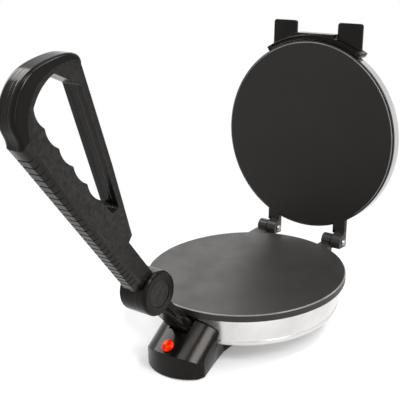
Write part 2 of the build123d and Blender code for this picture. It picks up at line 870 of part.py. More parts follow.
# ---- pilot lamp: domed lens, neon body behind it ----
with BuildPart() as indicator_lens:
    with BuildSketch(section_of(lamp_plane)):
        with BuildLine():
            Line((0, -8), (lens_shank_radius, -8))
            Line((lens_shank_radius, -8), (lens_shank_radius, 0.9))
            Line((lens_shank_radius, 0.9), (lens_radius, 0.9))
            Line((lens_radius, 0.9), (lens_radius, 1.8))
            ThreePointArc(*dome(lens_radius, 1.8, lens_rise))
            Line((0, lens_rise + 1.8), (0, -8))
        make_face()
    revolve(axis=axis_of(lamp_plane))
save(indicator_lens.part, "indicator_lens")

with BuildPart() as lamp_body:
    with BuildSketch(lamp_plane.offset(-8.2)):
        Circle(3.4)
    extrude(amount=-7)
    with BuildSketch(lamp_plane.offset(-6.6)):
        Circle(6.2)
        Circle(lens_shank_radius + 0.05, mode=Mode.SUBTRACT)
    extrude(amount=2.4)
save(lamp_body.part, "lamp_body")

# ---- mains terminal block on the cover, thermostat under the plate ----
with BuildPart() as terminal_block:
    with BuildSketch(Plane.XY.offset(post_foot_z)):
        with Locations((-9, -90)):
            Rectangle(10, 20)
    extrude(amount=10)
    with BuildSketch(Plane.XY.offset(post_foot_z + 10)):
        with GridLocations(0, 8, 1, 2):
            with Locations((-9, -90)):
                Circle(2.0)
    extrude(amount=-6, mode=Mode.SUBTRACT)
save(terminal_block.part, "terminal_block")

with BuildPart() as thermostat:
    with BuildSketch(lower_frame.offset(plate_thickness)):
        with Locations((0, -30)):
            Circle(8)
    extrude(amount=5)
    with BuildSketch(lower_frame.offset(plate_thickness + 5)):
        with Locations((0, -30)):
            Rectangle(11, 5)
    extrude(amount=6)
save(thermostat.part, "thermostat")

# ---- lid bracket: band, lifting ears, catch and saddle ----
wedge = band_outer * 2
groove_inset = 1.5


def band_sector(inner, outer, half_angle):
    """A stretch of a ring in front of the lid, within an angle either side of the middle."""
    across, along = wedge * sin(radians(half_angle)), wedge * cos(radians(half_angle))
    with BuildSketch(lid_frame.offset(band_height)) as sector:
        Circle(outer)
        Circle(inner, mode=Mode.SUBTRACT)
        with BuildLine():
            Polyline((0, 0), (across, -along), (-across, -along), close=True)
        make_face(mode=Mode.INTERSECT)
    return sector.sketch


with BuildPart() as lid_bracket:
    band = band_sector(band_inner, band_outer, band_half_angle)
    extrude(band, amount=upper_pan_depth + saddle_thickness - band_height)
    # groove along the band's front
    groove = band_sector(band_inner + groove_inset, band_outer - groove_inset, band_half_angle - 3)
    extrude(groove, amount=band_groove, mode=Mode.SUBTRACT)
    # lifting ears
    for side in (-1, 1):
        with BuildSketch(lid_frame.offset(ear_height)):
            with Locations((side * (ear_inner_x + ear_outer_x) / 2, (ear_tip_y + ear_root_y) / 2)):
                Rectangle(ear_outer_x - ear_inner_x, ear_root_y - ear_tip_y)
            Circle(band_inner, mode=Mode.SUBTRACT)
        extrude(amount=ear_thickness)
    tips = lid_bracket.edges().filter_by(Axis(lid_frame.origin, lid_frame.z_dir))
    tips = tips.filter_by(lambda e: lid_frame.to_local_coords(e.center()).Y < ear_tip_y + 1)
    fillet(tips, 3)
    # catch wall between the ears
    with BuildSketch(lid_frame.offset(catch_height)):
        with Locations((0, (catch_y - pan_radius) / 2 + 1)):
            Rectangle(2 * catch_half_width, -catch_y - pan_radius + 2)
        Circle(band_inner, mode=Mode.SUBTRACT)
    extrude(amount=upper_pan_depth + saddle_thickness - catch_height)
    # saddle plate over the lid
    with BuildSketch(lid_frame.offset(upper_pan_depth)):
        with BuildLine():
            Polyline(
                (-wedge * sin(radians(band_half_angle)), -wedge * cos(radians(band_half_angle))),
                (wedge * sin(radians(band_half_angle)), -wedge * cos(radians(band_half_angle))),
                (26, saddle_y),
                (-26, saddle_y),
                close=True,
            )
        make_face()
        Circle(band_outer, mode=Mode.INTERSECT)
    extrude(amount=saddle_thickness)
save(lid_bracket.part, "lid_bracket")

bracket_screw_places = ((-20.0, rim_front + 27.0), (20.0, rim_front + 27.0), (0.0, rim_front + 13.0))
with BuildPart() as lid_screws:
    for place in bracket_screw_places:
        with BuildSketch(lid_frame.offset(upper_pan_depth + saddle_thickness)):
            with Locations(place):
                Circle(3.4)
        extrude(amount=1.8, taper=30)
save(lid_screws.part, "lid_screws")

# ---- link ----
with BuildPart() as press_link:
    with BuildSketch(link_frame.offset(-link_half_width)):
        with BuildLine():
            Polyline(
                (-2, -link_root_radius + 1.5),
                (0, -link_back),
                (link_length, -link_back),
                (link_length, link_front),
                (-1, link_front),
                close=True,
            )
        make_face()
        Circle(link_root_radius)
        with Locations((link_length, 0)):
            Circle(link_head_radius)
    extrude(amount=2 * link_half_width)
    with BuildSketch(link_frame.offset(-link_half_width)):
        Circle(link_pin_radius + pin_running_clearance)
        with Locations((link_length, 0)):
            Circle(barrel_pin_radius + pin_running_clearance)
    extrude(amount=2 * link_half_width, mode=Mode.SUBTRACT)
save(press_link.part, "press_link")

# ---- handle ----
grip_lid_side = ((15.0, -10.5), (65.2, -11.3), (67.0, -18.0), (95.6, -29.6), (133.0, -44.6), (221.0, -77.0))
band_edge = ((221.0, -77.0), (228.6, -67.0), (236.2, -50.0), (237.6, -35.0), (231.8, -17.0), (222.4, -6.2))
strip_foot = barrel_radius - 0.4
seat_line = ((213.1, 0.2), (125.0, 6.0), (strip_foot, 3.2))  # flat side meets the palm grip
# the glossy band round the loop: a point on its edge, then the crest above it
band_stations = (
    ((213.0, -69.8), (215.8, -75.0)),
    ((222.0, -73.0), (226.3, -78.0)),
    ((228.6, -67.0), (234.8, -69.4)),
    ((234.7, -54.5), (243.4, -54.5)),
    ((237.6, -38.0), (249.5, -37.0)),
    ((236.4, -27.0), (249.4, -25.0)),
    ((231.5, -16.5), (243.8, -10.0)),
    ((222.4, -6.2), (231.2, 2.6)),
    ((213.2, 0.2), (213.9, 9.3)),
)
strip_stations = ((barrel_radius + 0.8, 3.3, 13.2), (75.0, 5.4, 12.0), (140.0, 6.0, 10.8), (212.8, 1.2, 9.4))
cusps = ((210.0, -16.9), (188.0, -15.8), (166.0, -15.7), (143.5, -15.6), (121.5, -15.5))
scallop = 3.0


def cross_section(along, out_to, half, depth, root, shoulder=0):
    """A profile across the handle that rises from a point in the side view towards another.

    It is domed, or with a shoulder it is flat with a rounded edge either side.
    """
    rise = Vector(out_to[0] - along[0], out_to[1] - along[1])
    up = (handle_frame.x_dir * rise.X + handle_frame.y_dir * rise.Y).normalized()
    station = Plane(
        origin=handle_frame.from_local_coords((along[0], along[1], 0)),
        x_dir=(1, 0, 0),
        z_dir=Vector(1, 0, 0).cross(up),
    )
    top = rise.length - depth
    with BuildSketch(station) as profile:
        with BuildLine():
            if shoulder == 0:
                ThreePointArc((-half, 0), (0, top), (half, 0))
            else:
                bend = shoulder * (1 - sqrt(0.5))
                Line((-half, 0), (-half, top - shoulder))
                ThreePointArc((-half, top - shoulder), (bend - half, top - bend), (shoulder - half, top))
                Line((shoulder - half, top), (half - shoulder, top))
                ThreePointArc((half - shoulder, top), (half - bend, top - bend), (half, top - shoulder))
                Line((half, top - shoulder), (half, 0))
            Polyline((half, 0), (half, -root), (-half, -root), (-half, 0))
        make_face()
    return profile.sketch


def grip_opening():
    """The hand opening: straight on the lid side, scalloped for the fingers on the palm side."""
    with BuildSketch(handle_frame.offset(-barrel_half_length)) as opening:
        with BuildLine():
            Polyline((101.0, -16.2), (98.6, -24.6), (206.5, -64.2), (232.6, -51.2))
            Spline((232.6, -51.2), (233.6, -36.0), (228.8, -19.9))
            ThreePointArc((228.8, -19.9), (219.8, -16.0), cusps[0])
            for far, near in zip(cusps, cusps[1:]):
                middle = ((far[0] + near[0]) / 2, (far[1] + near[1]) / 2 + scallop)
                ThreePointArc(far, middle, near)
            Line(cusps[-1], (101.0, -16.2))
        make_face()
        spots = {v: handle_frame.to_local_coords(Vector(v)) for v in opening.vertices()}
        fillet([v for v, at in spots.items() if at.Y < -49 or at.X < 102], 3)
    return opening.sketch


def beside_link(turn, along, across):
    """A point beside the link in the handle's frame, once the handle has folded by a turn."""
    angle = radians(link_lean + 90 + 180 - handle_angle + turn)
    return (along * cos(angle) - across * sin(angle), along * sin(angle) + across * cos(angle))


reach = 2 * barrel_radius
link_way = (
    beside_link(0, 0, -link_front - slot_clearance),
    beside_link(0, reach, -link_front - slot_clearance),
    beside_link(handle_fold / 3, 1.3 * reach, 0),
    beside_link(handle_fold * 2 / 3, 1.3 * reach, 0),
    beside_link(handle_fold, reach, link_back + slot_clearance),
    beside_link(handle_fold, 0, link_back + slot_clearance),
)

with BuildPart() as grip_body:
    with BuildSketch(handle_frame.offset(-grip_half_width)):
        with BuildLine():
            Polyline(*grip_lid_side)
            Spline(*band_edge, seat_line[0])
            ThreePointArc(*seat_line)
            Polyline(seat_line[2], (15.0, 3.2), grip_lid_side[0])
        make_face()
    extrude(amount=2 * grip_half_width)
    for edge_point, crest in band_stations:
        add(cross_section(edge_point, crest, grip_half_width - 0.15, 0, 3.0, band_shoulder))
    loft()
    # domed neck between the barrel and the palm grip
    neck = strip_stations[0]
    add(cross_section((neck[0] - 0.3, neck[1]), (neck[0] - 0.3, neck[2]), grip_half_width, 0, 3.0))
    extrude(amount=10, dir=handle_frame.x_dir * -1)
    extrude(grip_opening(), amount=2 * barrel_half_length, mode=Mode.SUBTRACT)
    # barrel round the link's head
    with BuildSketch(handle_frame.offset(-barrel_half_length)):
        Circle(barrel_radius)
    extrude(amount=2 * barrel_half_length)
    rims = grip_body.edges().filter_by(GeomType.CIRCLE)
    fillet(
        [e for e in rims if abs(abs(e.center().X) - barrel_half_length) < 0.01],
        barrel_rim_round,
    )
    with BuildSketch(handle_frame.offset(-barrel_cavity_half)):
        Circle(barrel_cavity_radius)
    extrude(amount=2 * barrel_cavity_half, mode=Mode.SUBTRACT)
    # slot that the link leaves by, wide enough for the fold
    with BuildSketch(handle_frame.offset(-barrel_cavity_half)):
        with BuildLine():
            Polyline(*link_way, link_way[0])
        make_face()
    extrude(amount=2 * barrel_cavity_half, mode=Mode.SUBTRACT)
    with BuildSketch(handle_frame.offset(-barrel_half_length)):
        Circle(barrel_pin_radius)
    extrude(amount=2 * barrel_half_length, mode=Mode.SUBTRACT)
    for start in (-barrel_half_length, barrel_half_length - cap_recess):
        with BuildSketch(handle_frame.offset(start)):
            Circle(cap_radius + 0.1)
        extrude(amount=cap_recess, mode=Mode.SUBTRACT)

# the halves part along the middle, and at the barrel along its right-hand seam
with BuildPart() as right_zone:
    with BuildSketch(handle_frame):
        with Locations((120, -20)):
            Rectangle(300, 150)
    extrude(amount=2 * barrel_half_length)
    with BuildSketch(handle_frame):
        Circle(barrel_radius)
    extrude(amount=barrel_seam_x, mode=Mode.SUBTRACT)

handle_screw_places = ((42.0, -3.5), (86.0, -10.0), (217.0, -68.5), (222.0, -9.0))
with BuildPart() as handle_screws:
    for place in handle_screw_places:
        with BuildSketch(handle_frame.offset(-grip_half_width + 0.2)):
            with Locations(place):
                Circle(3.0)
        extrude(amount=2.2)
        with BuildSketch(handle_frame.offset(-grip_half_width + 2.4)):
            with Locations(place):
                Circle(1.5)
        extrude(amount=13)
save(handle_screws.part, "handle_screws")

with BuildPart() as screw_holes:
    for place in handle_screw_places:
        with BuildSketch(handle_frame.offset(-grip_half_width - 1)):
            with Locations(place):
                Circle(3.1)
        extrude(amount=3.4)
        with BuildSketch(handle_frame.offset(-grip_half_width)):
            with Locations(place):
                Circle(1.6)
        extrude(amount=15.6)

with BuildPart() as handle_right:
    add(grip_body)
    add(right_zone, mode=Mode.INTERSECT)
    add(screw_holes, mode=Mode.SUBTRACT)
save(handle_right.part, "handle_right")

with BuildPart() as handle_left:
    add(grip_body)
    add(right_zone, mode=Mode.SUBTRACT)
    add(screw_holes, mode=Mode.SUBTRACT)
save(handle_left.part, "handle_left")


# ---- palm grip: a ribbed, crowned strip on the handle's back ----
def grip_strip(inset):
    """The strip's crowned solid, or with an inset the core that the grooves stop at."""
    half = grip_half_width - 1.6 * inset
    with BuildPart() as strip:
        for along, seat, crest in strip_stations:
            add(cross_section((along, seat), (along, crest), half, inset, 8.0))
        loft()
    return strip.part


with BuildPart() as groove_cutter:
    for number in range(groove_count):
        along = barrel_radius + 9.6 + 5.7 * number + 0.045 * number**2
        with BuildSketch(handle_frame.offset(-grip_half_width - 1)):
            with Locations((along, 10.5)):
                Rectangle(groove_width, 11)
        extrude(amount=2 * grip_half_width + 2)
    add(grip_strip(groove_depth), mode=Mode.SUBTRACT)

with BuildPart() as palm_grip:
    with BuildSketch(handle_frame.offset(-grip_half_width - 1)):
        with BuildLine():
            ThreePointArc(*seat_line)
            Polyline(seat_line[2], (strip_foot, 20.0), (213.1, 20.0), seat_line[0])
        make_face()
    extrude(amount=2 * grip_half_width + 2)
    add(grip_strip(0), mode=Mode.INTERSECT)
    add(groove_cutter, mode=Mode.SUBTRACT)
save(palm_grip.part, "palm_grip")

# ---- barrel pin and the two caps over its ends ----
with BuildPart() as barrel_pin:
    with BuildSketch(handle_frame.offset(-barrel_half_length + cap_recess)):
        Circle(barrel_pin_radius)
    extrude(amount=2 * (barrel_half_length - cap_recess))
save(barrel_pin.part, "barrel_pin")

with BuildPart() as pivot_caps:
    for start in (-barrel_half_length + cap_recess - cap_thickness, barrel_half_length - cap_recess):
        with BuildSketch(handle_frame.offset(start)):
            Circle(cap_radius)
        extrude(amount=cap_thickness)
save(pivot_caps.part, "pivot_caps")
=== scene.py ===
"""Looks of the electric roti maker: materials, small fittings, studio and camera. Metres, +Z up."""

import math

import bmesh
import bpy
from mathutils import Matrix, Vector


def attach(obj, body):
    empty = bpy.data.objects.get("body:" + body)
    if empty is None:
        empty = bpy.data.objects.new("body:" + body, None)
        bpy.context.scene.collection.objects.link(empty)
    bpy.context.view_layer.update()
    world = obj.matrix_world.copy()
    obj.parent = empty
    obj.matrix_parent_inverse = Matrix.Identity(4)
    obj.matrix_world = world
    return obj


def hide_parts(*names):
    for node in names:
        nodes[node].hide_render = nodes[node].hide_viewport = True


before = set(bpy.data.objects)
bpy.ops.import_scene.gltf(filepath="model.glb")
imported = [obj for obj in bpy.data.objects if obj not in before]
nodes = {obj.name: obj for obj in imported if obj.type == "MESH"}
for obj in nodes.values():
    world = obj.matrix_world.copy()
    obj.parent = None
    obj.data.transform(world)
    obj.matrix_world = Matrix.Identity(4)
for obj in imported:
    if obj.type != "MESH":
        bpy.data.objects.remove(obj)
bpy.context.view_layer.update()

MM = 0.001
WARM = (1.0, 0.93, 0.875, 1)  # tint of the plastics' and coating's sheen

# ---- places on the model ----
PLATE_RADIUS = 105.0 * MM
PLATE_CENTRE = Vector((0, 0, 59.0 * MM))
LID_PLATE_RADIUS = 103.8 * MM
HINGE_AXIS = Vector((0, 115.5 * MM, 59.9 * MM))
HINGE_CENTRES = (-43.9 * MM, 42.0 * MM)
LID_OPEN = math.radians(95.5)
LID_UP = Vector((0, -math.cos(LID_OPEN), math.sin(LID_OPEN)))
LID_FACE = Vector((0, -math.sin(LID_OPEN), -math.cos(LID_OPEN)))
LID_CENTRE = HINGE_AXIS + HINGE_AXIS.y * LID_UP + 0.1 * MM * LID_FACE
BARREL_CENTRE = Vector((0, -156.6 * MM, 99.7 * MM))
HANDLE_TURN = math.radians(126)
HANDLE_ALONG = Vector((0, math.cos(HANDLE_TURN), math.sin(HANDLE_TURN)))
HANDLE_OUT = Vector((0, -math.sin(HANDLE_TURN), math.cos(HANDLE_TURN)))
GRIP_HALF_WIDTH = 10.0 * MM

# ---- camera, as fitted to the photograph ----
CAMERA_PLACE = Vector((0.48080, -0.68342, 0.44222))
CAMERA_RIGHT = Vector((0.79483564, 0.60525747, -0.0435855))
CAMERA_UP = Vector((-0.17418179, 0.29636184, 0.93905823))
CAMERA_BACK = Vector((0.58128909, -0.73880515, 0.34098379))
SENSOR = 36.0
LENS = 861.87 / 400 * SENSOR


# ---- material helpers ----
def new_material(name):
    """A node material, its tree and the shader that is wired to its output."""
    material = bpy.data.materials.new(name)
    material.use_nodes = True
    tree = material.node_tree
    return material, tree, tree.nodes["Principled BSDF"]


def node(tree, kind, **values):
    """A node with its sockets or properties set by name."""
    made = tree.nodes.new(kind)
    for key, value in values.items():
        label = key.replace("_", " ")
        if label in made.inputs:
            made.inputs[label].default_value = value
        else:
            setattr(made, key, value)
    return made


def noise(tree, scale, detail=4.0, roughness=0.5, stretch=(1, 1, 1)):
    """Noise in object space, so that it stays on the piece. Returns its factor socket."""
    place = tree.nodes.new("ShaderNodeTexCoord")
    mapping = tree.nodes.new("ShaderNodeMapping")
    mapping.inputs["Scale"].default_value = stretch
    made = node(tree, "ShaderNodeTexNoise", Scale=scale, Detail=detail, Roughness=roughness)
    tree.links.new(place.outputs["Object"], mapping.inputs["Vector"])
    tree.links.new(mapping.outputs["Vector"], made.inputs["Vector"])
    return made.outputs["Fac"]


def ramp(tree, factor, low, high, start=0.3, end=0.7):
    """A two-stop ramp between two colours or two numbers."""
    made = tree.nodes.new("ShaderNodeValToRGB")
    made.color_ramp.elements[0].position = start
    made.color_ramp.elements[1].position = end
    for element, value in zip(made.color_ramp.elements, (low, high)):
        shade = (value, value, value) if isinstance(value, (int, float)) else value
        element.color = (*shade, 1)
    tree.links.new(factor, made.inputs["Fac"])
    return made.outputs["Color"]


def bump(tree, shader, heights, distance, edge=0.0):
    """Chained bumps: each of the heights is (socket, strength). An edge is a softened corner's radius."""
    normal = None
    if edge:
        corner = node(tree, "ShaderNodeBevel", samples=6)
        corner.inputs["Radius"].default_value = edge
        normal = corner.outputs["Normal"]
    for height, strength in heights:
        made = node(tree, "ShaderNodeBump", Strength=strength, Distance=distance)
        tree.links.new(height, made.inputs["Height"])
        if normal is not None:
            tree.links.new(normal, made.inputs["Normal"])
        normal = made.outputs["Normal"]
    tree.links.new(normal, shader.inputs["Normal"])


def math_node(tree, operation, *values):
    """A math node of sockets or numbers."""
    made = node(tree, "ShaderNodeMath", operation=operation)
    for socket, value in zip(made.inputs, values):
        if isinstance(value, (int, float)):
            socket.default_value = value
        else:
            tree.links.new(value, socket)
    return made.outputs[0]


def disc_place(tree, centre, face):
    """Distance from a disc's axis, and depth behind its face."""
    place = tree.nodes.new("ShaderNodeTexCoord")
    apart = node(tree, "ShaderNodeVectorMath", operation="SUBTRACT")
    apart.inputs[1].default_value = centre
    tree.links.new(place.outputs["Object"], apart.inputs[0])
    across = node(tree, "ShaderNodeVectorMath", operation="CROSS_PRODUCT")
    height = node(tree, "ShaderNodeVectorMath", operation="DOT_PRODUCT")
    for made in (across, height):
        tree.links.new(apart.outputs[0], made.inputs[0])
        made.inputs[1].default_value = face
    radius = node(tree, "ShaderNodeVectorMath", operation="LENGTH")
    tree.links.new(across.outputs[0], radius.inputs[0])
    return radius.outputs["Value"], math_node(tree, "MULTIPLY", height.outputs["Value"], -1.0)


def object_axes(tree):
    """Object space split into its three axes."""
    place = tree.nodes.new("ShaderNodeTexCoord")
    apart = tree.nodes.new("ShaderNodeSeparateXYZ")
    tree.links.new(place.outputs["Object"], apart.inputs[0])
    return apart.outputs


def blend_colour(tree, share, first, second):
    """The first colour socket where the share is 0, and the second colour where it is 1."""
    mix = node(tree, "ShaderNodeMix", data_type="RGBA")
    tree.links.new(share, mix.inputs["Factor"])
    tree.links.new(first, mix.inputs[6])
    mix.inputs[7].default_value = (*second, 1)
    return mix.outputs[2]


def mix_shader(tree, share, first, second):
    """The first shader where the share is 0, and the second where it is 1."""
    mix = tree.nodes.new("ShaderNodeMixShader")
    for socket, source in zip(mix.inputs, (share, first, second)):
        tree.links.new(source, socket)
    return mix.outputs[0]


def edge_wear(tree, colour, wear_and_highlight, amount):
    """A colour that turns towards a pale wear colour along convex edges, broken up by noise."""
    geometry = tree.nodes.new("ShaderNodeNewGeometry")
    edges = ramp(tree, geometry.outputs["Pointiness"], 0.0, 1.0, 0.52, 0.60)
    patches = ramp(tree, noise(tree, 220, 3), 0.0, amount, 0.35, 0.7)
    return blend_colour(tree, math_node(tree, "MULTIPLY", edges, patches), colour, wear_and_highlight)


# ---- materials ----
# radii that the bevel shader gives to sharp edges
CAST_EDGE = 0.9 * MM
GLOSS_EDGE = 0.8 * MM
SHEET_EDGE = 0.7 * MM
TEXTURED_EDGE = 0.6 * MM

RIM_HIGHLIGHT_WIDTH = 1.0 * MM  # width of the painted highlight line round a plate's edge
KNUCKLE_REACH = 12.5 * MM  # from the hinge axis
KNUCKLE_GAP = 0.9 * MM  # painted shade reaches this far either side of the joint between two knuckles
KNUCKLE_COLOUR = (0.024, 0.0225, 0.0215)
KNUCKLE_SHINE = 0.22  # less roughness there than on the plates


def hinge_shares(tree):
    """Where the cast knuckles are, and where painted shade marks the gap between two of them."""
    reach, _ = disc_place(tree, HINGE_AXIS, (1, 0, 0))
    knuckle = math_node(tree, "LESS_THAN", reach, KNUCKLE_REACH)
    across = object_axes(tree)["X"]
    gaps = [math_node(tree, "COMPARE", across, centre, KNUCKLE_GAP) for centre in HINGE_CENTRES]
    gap = math_node(tree, "MULTIPLY", math_node(tree, "MAXIMUM", *gaps), knuckle)
    return knuckle, gap


def rim_highlight_share(tree, centre, face, radius, clear_axis, clear_end):
    """Where a plate's edge carries a painted highlight: a patchy pale line, but for the hinge arms that cross
    the rim.
    """
    across, depth = disc_place(tree, centre, face)
    outside = math_node(tree, "GREATER_THAN", across, radius - RIM_HIGHLIGHT_WIDTH)
    shallow = math_node(tree, "LESS_THAN", depth, RIM_HIGHLIGHT_WIDTH)
    inside = math_node(tree, "LESS_THAN", across, radius + RIM_HIGHLIGHT_WIDTH)
    line = math_node(tree, "MULTIPLY", math_node(tree, "MULTIPLY", outside, shallow), inside)
    place = tree.nodes.new("ShaderNodeTexCoord")
    toward = node(tree, "ShaderNodeVectorMath", operation="DOT_PRODUCT")
    tree.links.new(place.outputs["Object"], toward.inputs[0])
    toward.inputs[1].default_value = clear_axis
    clear = math_node(tree, "GREATER_THAN", toward.outputs["Value"], clear_end)
    patches = ramp(tree, noise(tree, 30, 3), 0.45, 0.95, 0.3, 0.6)
    return math_node(tree, "MULTIPLY", math_node(tree, "MULTIPLY", line, clear), patches)


def nonstick_coating(name, low, high, rough, wear_and_highlight, *rim):
    """Sprayed non-stick on a cast plate, with a painted highlight round its rim, and glossier knuckles."""
    material, tree, shader = new_material(name)
    colour = ramp(tree, noise(tree, 14, 5), low, high)
    # painted highlight: a paler colour round the rim stands for light caught on the plate's edge
    colour = blend_colour(tree, rim_highlight_share(tree, *rim), colour, wear_and_highlight)
    knuckle, gap = hinge_shares(tree)
    colour = blend_colour(tree, knuckle, colour, KNUCKLE_COLOUR)
    tree.links.new(colour, shader.inputs["Base Color"])
    dull = ramp(tree, noise(tree, 40, 4), *rough)
    shine = math_node(tree, "MULTIPLY", knuckle, -KNUCKLE_SHINE)
    tree.links.new(math_node(tree, "ADD", dull, shine), shader.inputs["Roughness"])
    shader.inputs["Specular IOR Level"].default_value = 0.3
    shader.inputs["Specular Tint"].default_value = WARM
    grain = ((noise(tree, 900, 3), 0.10), (noise(tree, 140, 4), 0.04))
    bump(tree, shader, grain, 0.4 * MM, CAST_EDGE)
    # painted shade: a black band that gives back no light stands for the shadow in the gap between two
    # knuckles
    shadow = node(tree, "ShaderNodeBsdfPrincipled", Base_Color=(0.001, 0.001, 0.001, 1), Roughness=1.0)
    shadow.inputs["Specular IOR Level"].default_value = 0.0
    surface = mix_shader(tree, gap, shader.outputs[0], shadow.outputs[0])
    tree.links.new(surface, tree.nodes["Material Output"].inputs["Surface"])
    return material


def gloss_look(tree, shader, rough):
    """Colour and roughness of glossy black moulding, with slight sink and fine handling marks."""
    colour = ramp(tree, noise(tree, 25, 3), (0.0028, 0.0024, 0.0021), (0.0045, 0.004, 0.0036))
    tree.links.new(edge_wear(tree, colour, (0.03, 0.029, 0.028), 0.3), shader.inputs["Base Color"])
    tree.links.new(ramp(tree, noise(tree, 60, 5), *rough), shader.inputs["Roughness"])
    shader.inputs["Specular IOR Level"].default_value = 0.24
    shader.inputs["IOR"].default_value = 1.4
    shader.inputs["Specular Tint"].default_value = WARM
    marks = ((noise(tree, 30, 2), 0.12), (noise(tree, 1500, 2), 0.02))
    bump(tree, shader, marks, 0.8 * MM, GLOSS_EDGE)


def gloss_plastic(name, rough):
    """Injection-moulded glossy black."""
    material, tree, shader = new_material(name)
    gloss_look(tree, shader, rough)
    return material


def textured_look(tree, shader, low, high, grain, strength, rough):
    """Spark-eroded matt moulding: pebbled grain, and a little shine on edges pale from wear."""
    pebbles = noise(tree, grain, 3, 0.6)
    colour = ramp(tree, pebbles, low, high, 0.4, 0.62)
    tree.links.new(edge_wear(tree, colour, (0.05, 0.048, 0.046), 0.4), shader.inputs["Base Color"])
    tree.links.new(ramp(tree, noise(tree, 90, 4), *rough), shader.inputs["Roughness"])
    shader.inputs["Specular IOR Level"].default_value = 0.24
    shader.inputs["Specular Tint"].default_value = WARM
    bump(tree, shader, ((pebbles, strength), (noise(tree, 25, 2), 0.05)), 0.8 * MM, TEXTURED_EDGE)


def textured_plastic(name, low, high, grain=480, strength=0.4, rough=(0.34, 0.46)):
    """Matt black plastic all over."""
    material, tree, shader = new_material(name)
    textured_look(tree, shader, low, high, grain, strength, rough)
    return material


RIDGE_AT = (3.9 * MM, 4.4 * MM)  # a fine step along the band and the opening's walls
RIDGE_HEIGHT = 0.35 * MM
SIDE_DEPTH = 0.06 * MM  # how near to the flat sides the grain is
HANDLE_DARK = (0.0040, 0.0036, 0.0033)
HANDLE_PALE = (0.0115, 0.0104, 0.0096)


def handle_plastic(name):
    """The handle's mouldings: grained flat sides, glossy loop band, barrel and opening."""
    material, tree, grained = new_material(name)
    textured_look(tree, grained, HANDLE_DARK, HANDLE_PALE, 430, 0.75, (0.33, 0.45))
    glossy = tree.nodes.new("ShaderNodeBsdfPrincipled")
    gloss_look(tree, glossy, (0.13, 0.20))
    off = math_node(tree, "ABSOLUTE", object_axes(tree)["X"])
    # a step in the moulding, added over the gloss's own bumps
    step = tree.nodes.new("ShaderNodeMapRange")
    step.interpolation_type = "SMOOTHSTEP"
    step.inputs["From Min"].default_value, step.inputs["From Max"].default_value = RIDGE_AT
    tree.links.new(off, step.inputs["Value"])
    ridge = node(tree, "ShaderNodeBump", Strength=0.5, Distance=RIDGE_HEIGHT)
    tree.links.new(step.outputs["Result"], ridge.inputs["Height"])
    tree.links.new(glossy.inputs["Normal"].links[0].from_socket, ridge.inputs["Normal"])
    tree.links.new(ridge.outputs["Normal"], glossy.inputs["Normal"])
    # the grained sides lie at one distance either side of the middle, the rest is glossy
    side = math_node(tree, "COMPARE", off, GRIP_HALF_WIDTH, SIDE_DEPTH)
    surface = mix_shader(tree, side, glossy.outputs[0], grained.outputs[0])
    tree.links.new(surface, tree.nodes["Material Output"].inputs["Surface"])
    return material


LIP_DEPTH = 3.9 * MM  # the dark rolled lip at the lid pan's mouth
LIP_COLOUR = (0.045, 0.043, 0.041)


def polished_steel(name, rough, tint, clouding, lip=False):
    """Bright pressed sheet: faint drawing marks round the wall and cloudy polish."""
    material, tree, shader = new_material(name)
    shader.inputs["Metallic"].default_value = 1.0
    dark = tuple(clouding * value for value in tint)
    colour = ramp(tree, noise(tree, 24, 6, 0.6), dark, tint, 0.36, 0.56)
    if lip:
        _, depth = disc_place(tree, LID_CENTRE, LID_FACE)
        colour = blend_colour(tree, math_node(tree, "LESS_THAN", depth, LIP_DEPTH), colour, LIP_COLOUR)
    tree.links.new(colour, shader.inputs["Base Color"])
    tree.links.new(ramp(tree, noise(tree, 30, 6), *rough), shader.inputs["Roughness"])
    marks = noise(tree, 60, 4, 0.6, (1, 1, 12))
    bump(tree, shader, ((marks, 0.04), (noise(tree, 22, 3), 0.14)), 0.8 * MM, SHEET_EDGE)
    return material


def brushed_steel(name, tint=(0.56, 0.555, 0.55), rough=(0.28, 0.42)):
    """Zinc or plain steel for brackets and fasteners, lightly brushed."""
    material, tree, shader = new_material(name)
    shader.inputs["Metallic"].default_value = 1.0
    dark = tuple(0.75 * value for value in tint)
    tree.links.new(ramp(tree, noise(tree, 90, 5), dark, tint), shader.inputs["Base Color"])
    tree.links.new(ramp(tree, noise(tree, 120, 4), *rough), shader.inputs["Roughness"])
    bump(tree, shader, ((noise(tree, 500, 3, 0.6, (1, 8, 1)), 0.08),), 0.3 * MM)
    return material


def red_lens_plastic(name):
    """Tinted acrylic for the pilot lamp: it glows faintly from inside and mirrors the room."""
    material, tree, shader = new_material(name)
    colour = ramp(tree, noise(tree, 230, 2), (0.60, 0.006, 0.0), (0.95, 0.05, 0.002), 0.4, 0.6)
    tree.links.new(colour, shader.inputs["Base Color"])
    tree.links.new(colour, shader.inputs["Emission Color"])
    shader.inputs["Emission Strength"].default_value = 0.16
    tree.links.new(ramp(tree, noise(tree, 200, 3), 0.16, 0.26), shader.inputs["Roughness"])
    shader.inputs["Specular IOR Level"].default_value = 0.22
    shader.inputs["Specular Tint"].default_value = (1.0, 0.6, 0.4, 1)
    bump(tree, shader, ((noise(tree, 420, 2), 0.25),), 0.6 * MM)
    return material


def soft_rubber(name):
    """Black rubber with a dusty bloom."""
    material, tree, shader = new_material(name)
    colour = ramp(tree, noise(tree, 120, 5), (0.018, 0.018, 0.018), (0.04, 0.039, 0.038))
    tree.links.new(colour, shader.inputs["Base Color"])
    tree.links.new(ramp(tree, noise(tree, 200, 4), 0.65, 0.85), shader.inputs["Roughness"])
    shader.inputs["Sheen Weight"].default_value = 0.15
    bump(tree, shader, ((noise(tree, 1400, 3), 0.15),), 0.2 * MM)
    return material
